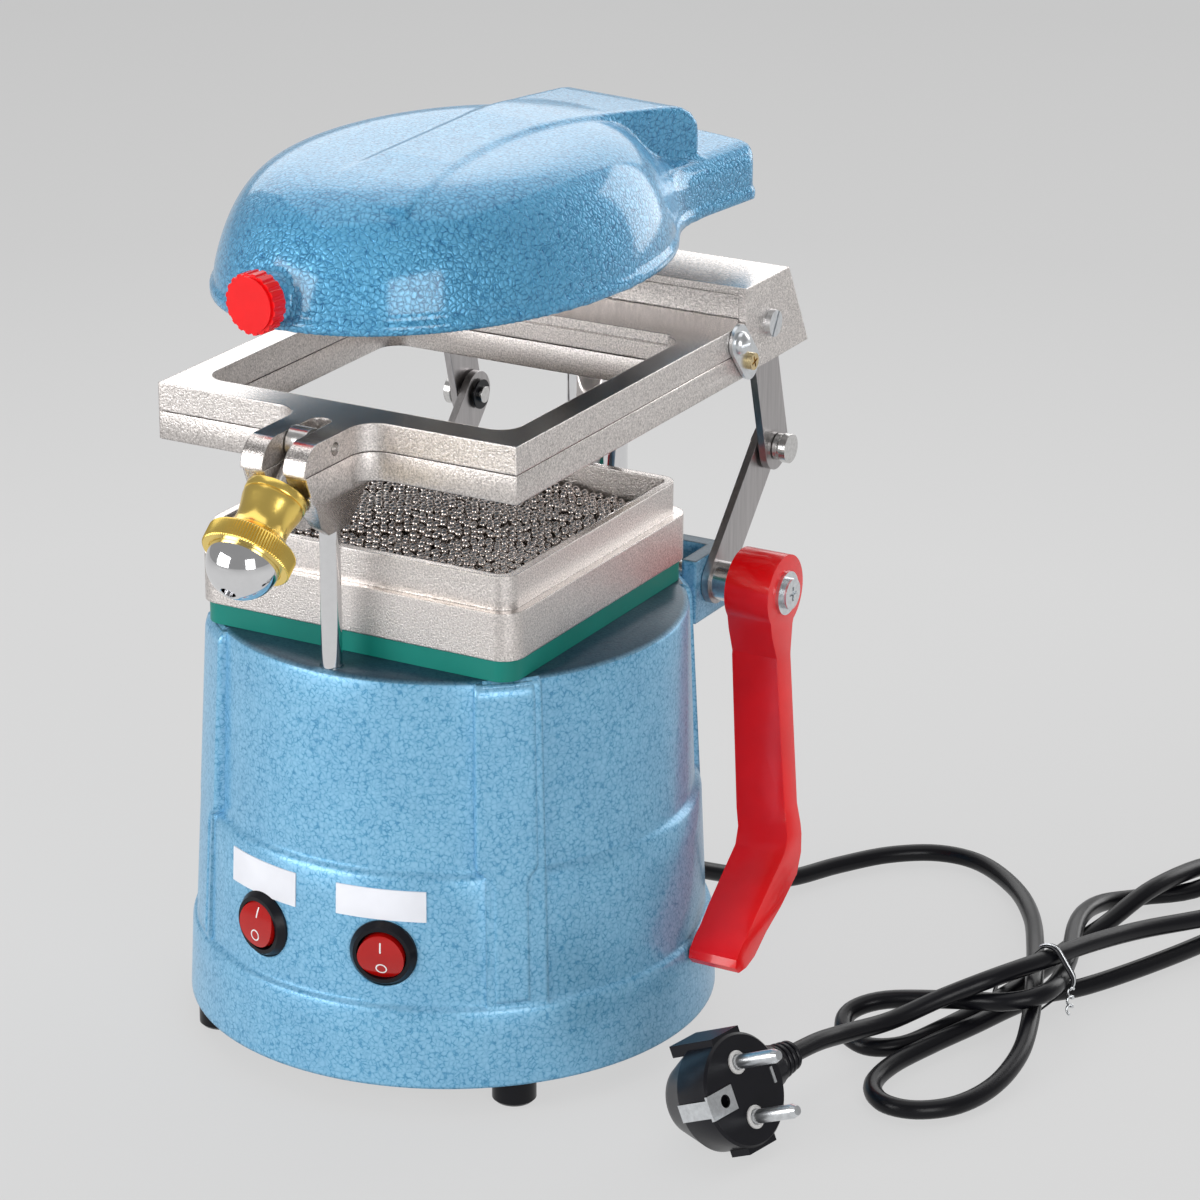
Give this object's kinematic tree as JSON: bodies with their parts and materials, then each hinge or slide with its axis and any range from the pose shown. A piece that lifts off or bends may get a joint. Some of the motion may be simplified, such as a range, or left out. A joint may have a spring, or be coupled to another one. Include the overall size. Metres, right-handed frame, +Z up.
{
  "type": "dental vacuum former",
  "caption": "Bench dental vacuum former: blue drum base with switches, bead tray, lever-operated sheet frame with clamp knob, swivelling heater head and coiled mains lead",
  "frame": {"origin": "centre of the drum base on the floor plane", "axes": "+X to the lever side, +Y to the back (column), +Z up"},
  "size_m": [0.344, 0.3995, 0.3052],
  "materials": {
    "blue_paint": "hammertone, glossy",
    "dark_steel": "oiled",
    "black_rubber": "matt",
    "zinc": "zinc plated",
    "motor_grey": "satin",
    "fan_metal": "bare",
    "black_plastic": "satin",
    "red_lens": "translucent look",
    "teal_rubber": "satin",
    "satin_nickel": "sand blasted",
    "steel_beads": "polished balls",
    "chrome_bar": "polished",
    "turned_steel": "turned",
    "brushed_link": "brushed along",
    "red_gloss": "glossy",
    "gold_anodised": "anodised",
    "brass_bush": "machined",
    "reflector_metal": "polished",
    "heater_tube": "heat tinted",
    "ceramic": "ceramic, matt"
  },
  "bodies": {
    "base": {"base_housing": "blue_paint", "base_plate": "dark_steel", "plate_screws": "zinc", "rubber_feet": "black_rubber", "foot_screws": "zinc", "fan_housing": "motor_grey", "motor_screws": "zinc", "motor_body": "motor_grey", "inlet_seal": "black_rubber", "bezel_left": "black_plastic", "bezel_right": "black_plastic", "gasket": "teal_rubber", "bead_tray": "satin_nickel", "bead_bed": "steel_beads", "column": "chrome_bar", "column_bolt": "dark_steel", "column_stop": "turned_steel", "stop_screw": "dark_steel", "lead_gland": "black_rubber", "cord_run": "black_rubber", "cord_hank": "black_rubber", "cord_lead": "black_rubber", "cord_tie": "black_plastic", "plug_body": "black_plastic", "plug_pins": "zinc", "earth_clips": "zinc"},
    "fan": {"fan_wheel": "fan_metal"},
    "left_rocker": {"rocker_left": "red_lens"},
    "right_rocker": {"rocker_right": "red_lens"},
    "crank": {"cross_shaft": "turned_steel", "shaft_collars": "turned_steel", "lower_links": "brushed_link", "link_washers": "turned_steel", "mid_pins": "turned_steel", "pin_clips": "black_plastic", "lever": "red_gloss", "lever_fixings": "zinc"},
    "links": {"upper_links": "brushed_link"},
    "carriage": {"lower_frame": "satin_nickel", "front_rod": "chrome_bar", "hinge_block": "satin_nickel", "guide_bush": "brass_bush", "block_bolts": "dark_steel", "link_screws": "zinc", "hinge_plates": "zinc", "hinge_pins": "zinc", "plate_bolts": "brass_bush"},
    "lid": {"upper_frame": "satin_nickel", "cross_pin": "turned_steel"},
    "clamp": {"eye_bolt": "turned_steel"},
    "knob": {"knob_body": "gold_anodised", "knob_ball": "chrome_bar"},
    "head": {"head_cover": "blue_paint", "head_collar": "dark_steel", "reflector": "reflector_metal", "reflector_posts": "zinc", "heater_element": "heater_tube", "heater_bars": "ceramic", "grip": "red_gloss", "grip_stud": "zinc"}
  },
  "joints": [
    {"name": "carriage_slide", "type": "slide", "parent": "base", "child": "carriage", "axis": [0, 0, 1], "range_m": [-0.0295, 0]},
    {"name": "lever_turn", "type": "hinge", "parent": "base", "child": "crank", "pos_m": [0, 0.0809, 0.1413], "axis": [1, 0, 0], "range_deg": [-29.3, 0]},
    {"name": "link_fold", "type": "hinge", "parent": "crank", "child": "links", "pos_m": [0, 0.1169, 0.1809], "axis": [1, 0, 0], "range_deg": [0, 48]},
    {"name": "lid_hinge", "type": "hinge", "parent": "carriage", "child": "lid", "pos_m": [0, 0.0785, 0.2298], "axis": [-1, 0, 0], "range_deg": [0, 6]},
    {"name": "clamp_swing", "type": "hinge", "parent": "lid", "child": "clamp", "pos_m": [0, -0.09, 0.2307], "axis": [-1, 0, 0], "range_deg": [0, 84.5]},
    {"name": "knob_spin", "type": "hinge", "parent": "clamp", "child": "knob", "pos_m": [0, -0.12087, 0.20526], "axis": [0, -0.7716, -0.6361], "continuous": true},
    {"name": "head_swivel", "type": "hinge", "parent": "base", "child": "head", "pos_m": [0, 0.102, 0.268], "axis": [0, 0, 1], "range_deg": [-90, 20]},
    {"name": "left_switch", "type": "hinge", "parent": "base", "child": "left_rocker", "pos_m": [-0.02327, -0.08279, 0.0555], "axis": [0.9627, -0.2706, 0], "range_deg": [0, 18]},
    {"name": "right_switch", "type": "hinge", "parent": "base", "child": "right_rocker", "pos_m": [0.02327, -0.08279, 0.0555], "axis": [0.9627, 0.2706, 0], "range_deg": [-18, 0]},
    {"name": "fan_spin", "type": "hinge", "parent": "base", "child": "fan", "pos_m": [0, 0, 0.11], "axis": [0, 0, 1], "continuous": true}
  ],
  "couplings": [
    {"joint": "lever_turn", "follows": "carriage_slide", "rad_per_m": 17.228},
    {"joint": "link_fold", "follows": "carriage_slide", "rad_per_m": -28.165},
    {"joint": "clamp_swing", "follows": "lid_hinge", "ratio": 14}
  ]
}
